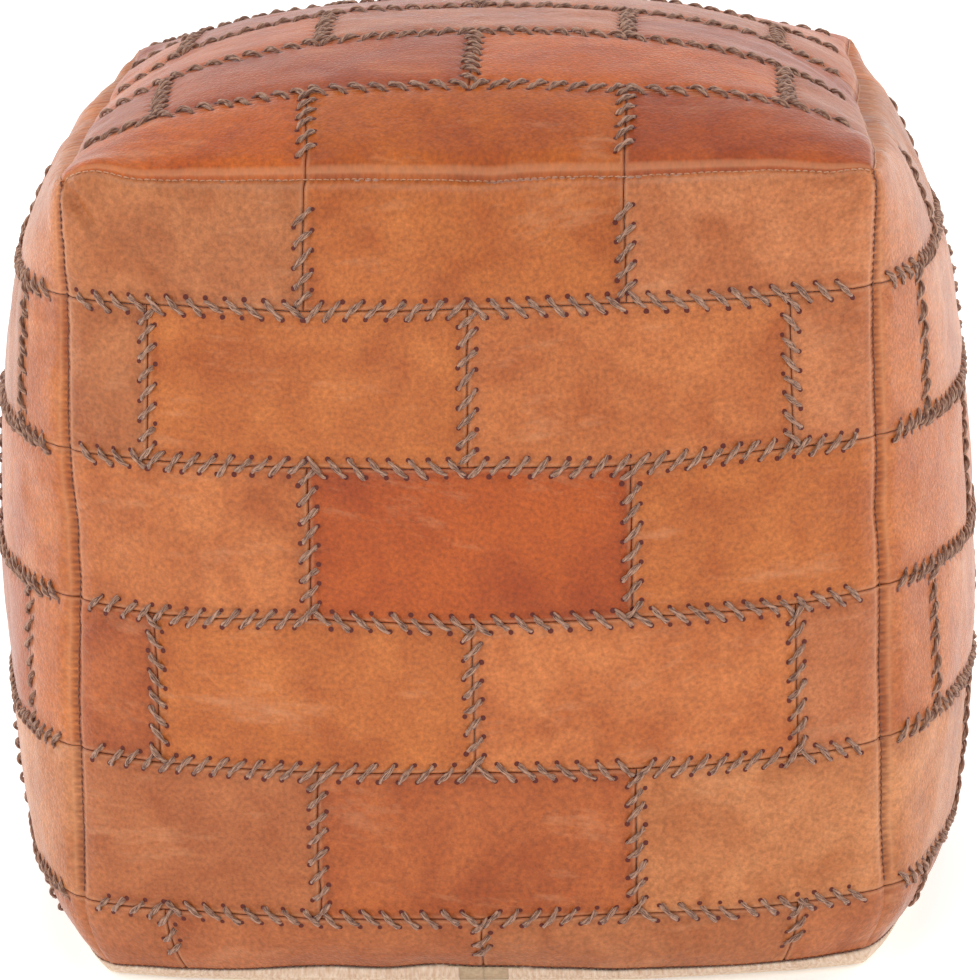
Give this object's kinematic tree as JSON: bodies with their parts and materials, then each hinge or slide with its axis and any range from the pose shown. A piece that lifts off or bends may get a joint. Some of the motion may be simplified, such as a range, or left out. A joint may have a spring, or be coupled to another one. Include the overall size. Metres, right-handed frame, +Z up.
{
  "type": "leather pouf",
  "caption": "Square stuffed pouf of laced leather patchwork over a cotton inner bag, on a canvas base closed by a zip.",
  "frame": {"origin": "on the floor, under the middle of the pouf", "axes": "+Z up, +X to the right seen from the front, front panel facing -Y"},
  "size_m": [0.4606, 0.4606, 0.4122],
  "materials": {
    "leather": "vegetable-tanned cowhide, waxed, light sheen",
    "lacing_cord": "waxed two-ply cord, matt",
    "seam_thread": "waxed sewing thread",
    "canvas": "undyed cotton canvas, matt",
    "zip_tape": "woven zip tape",
    "zip_coil": "nylon coil",
    "brass": "brushed and lacquered",
    "cotton_bag": "plain cotton cloth",
    "filling": "cotton and foam stuffing"
  },
  "bodies": {
    "root": {"front_row_1": "leather", "front_row_2": "leather", "front_row_3": "leather", "front_row_4": "leather", "front_row_5": "leather", "front_row_6": "leather", "right_row_1": "leather", "right_row_2": "leather", "right_row_3": "leather", "right_row_4": "leather", "right_row_5": "leather", "right_row_6": "leather", "back_row_1": "leather", "back_row_2": "leather", "back_row_3": "leather", "back_row_4": "leather", "back_row_5": "leather", "back_row_6": "leather", "left_row_1": "leather", "left_row_2": "leather", "left_row_3": "leather", "left_row_4": "leather", "left_row_5": "leather", "left_row_6": "leather", "top_row_1": "leather", "top_row_2": "leather", "top_row_3": "leather", "top_row_4": "leather", "top_row_5": "leather", "top_row_6": "leather", "front_lacing": "lacing_cord", "right_lacing": "lacing_cord", "back_lacing": "lacing_cord", "left_lacing": "lacing_cord", "top_lacing": "lacing_cord", "corner_seam_thread": "seam_thread", "top_seam_thread": "seam_thread", "base_seam_thread": "seam_thread", "base_left": "canvas", "base_right": "canvas", "zip_tape_left": "zip_tape", "zip_tape_right": "zip_tape", "zip_coil_left": "zip_coil", "zip_coil_right": "zip_coil", "zip_top_stops": "brass", "zip_bottom_stop": "brass", "liner_front": "cotton_bag", "liner_right": "cotton_bag", "liner_back": "cotton_bag", "liner_left": "cotton_bag", "liner_top": "cotton_bag", "liner_base": "cotton_bag", "filling": "filling"},
    "zip_slider": {"zip_slider": "brass"},
    "zip_pull": {"zip_pull": "brass"}
  },
  "joints": [
    {"name": "zip_slide", "type": "slide", "parent": "root", "child": "zip_slider", "axis": [0, -1, 0], "range_m": [0, 0.29]},
    {"name": "zip_pull_hinge", "type": "hinge", "parent": "zip_slider", "child": "zip_pull", "pos_m": [0, 0.147, 0.003], "axis": [1, 0, 0], "range_deg": [0, 180]}
  ]
}
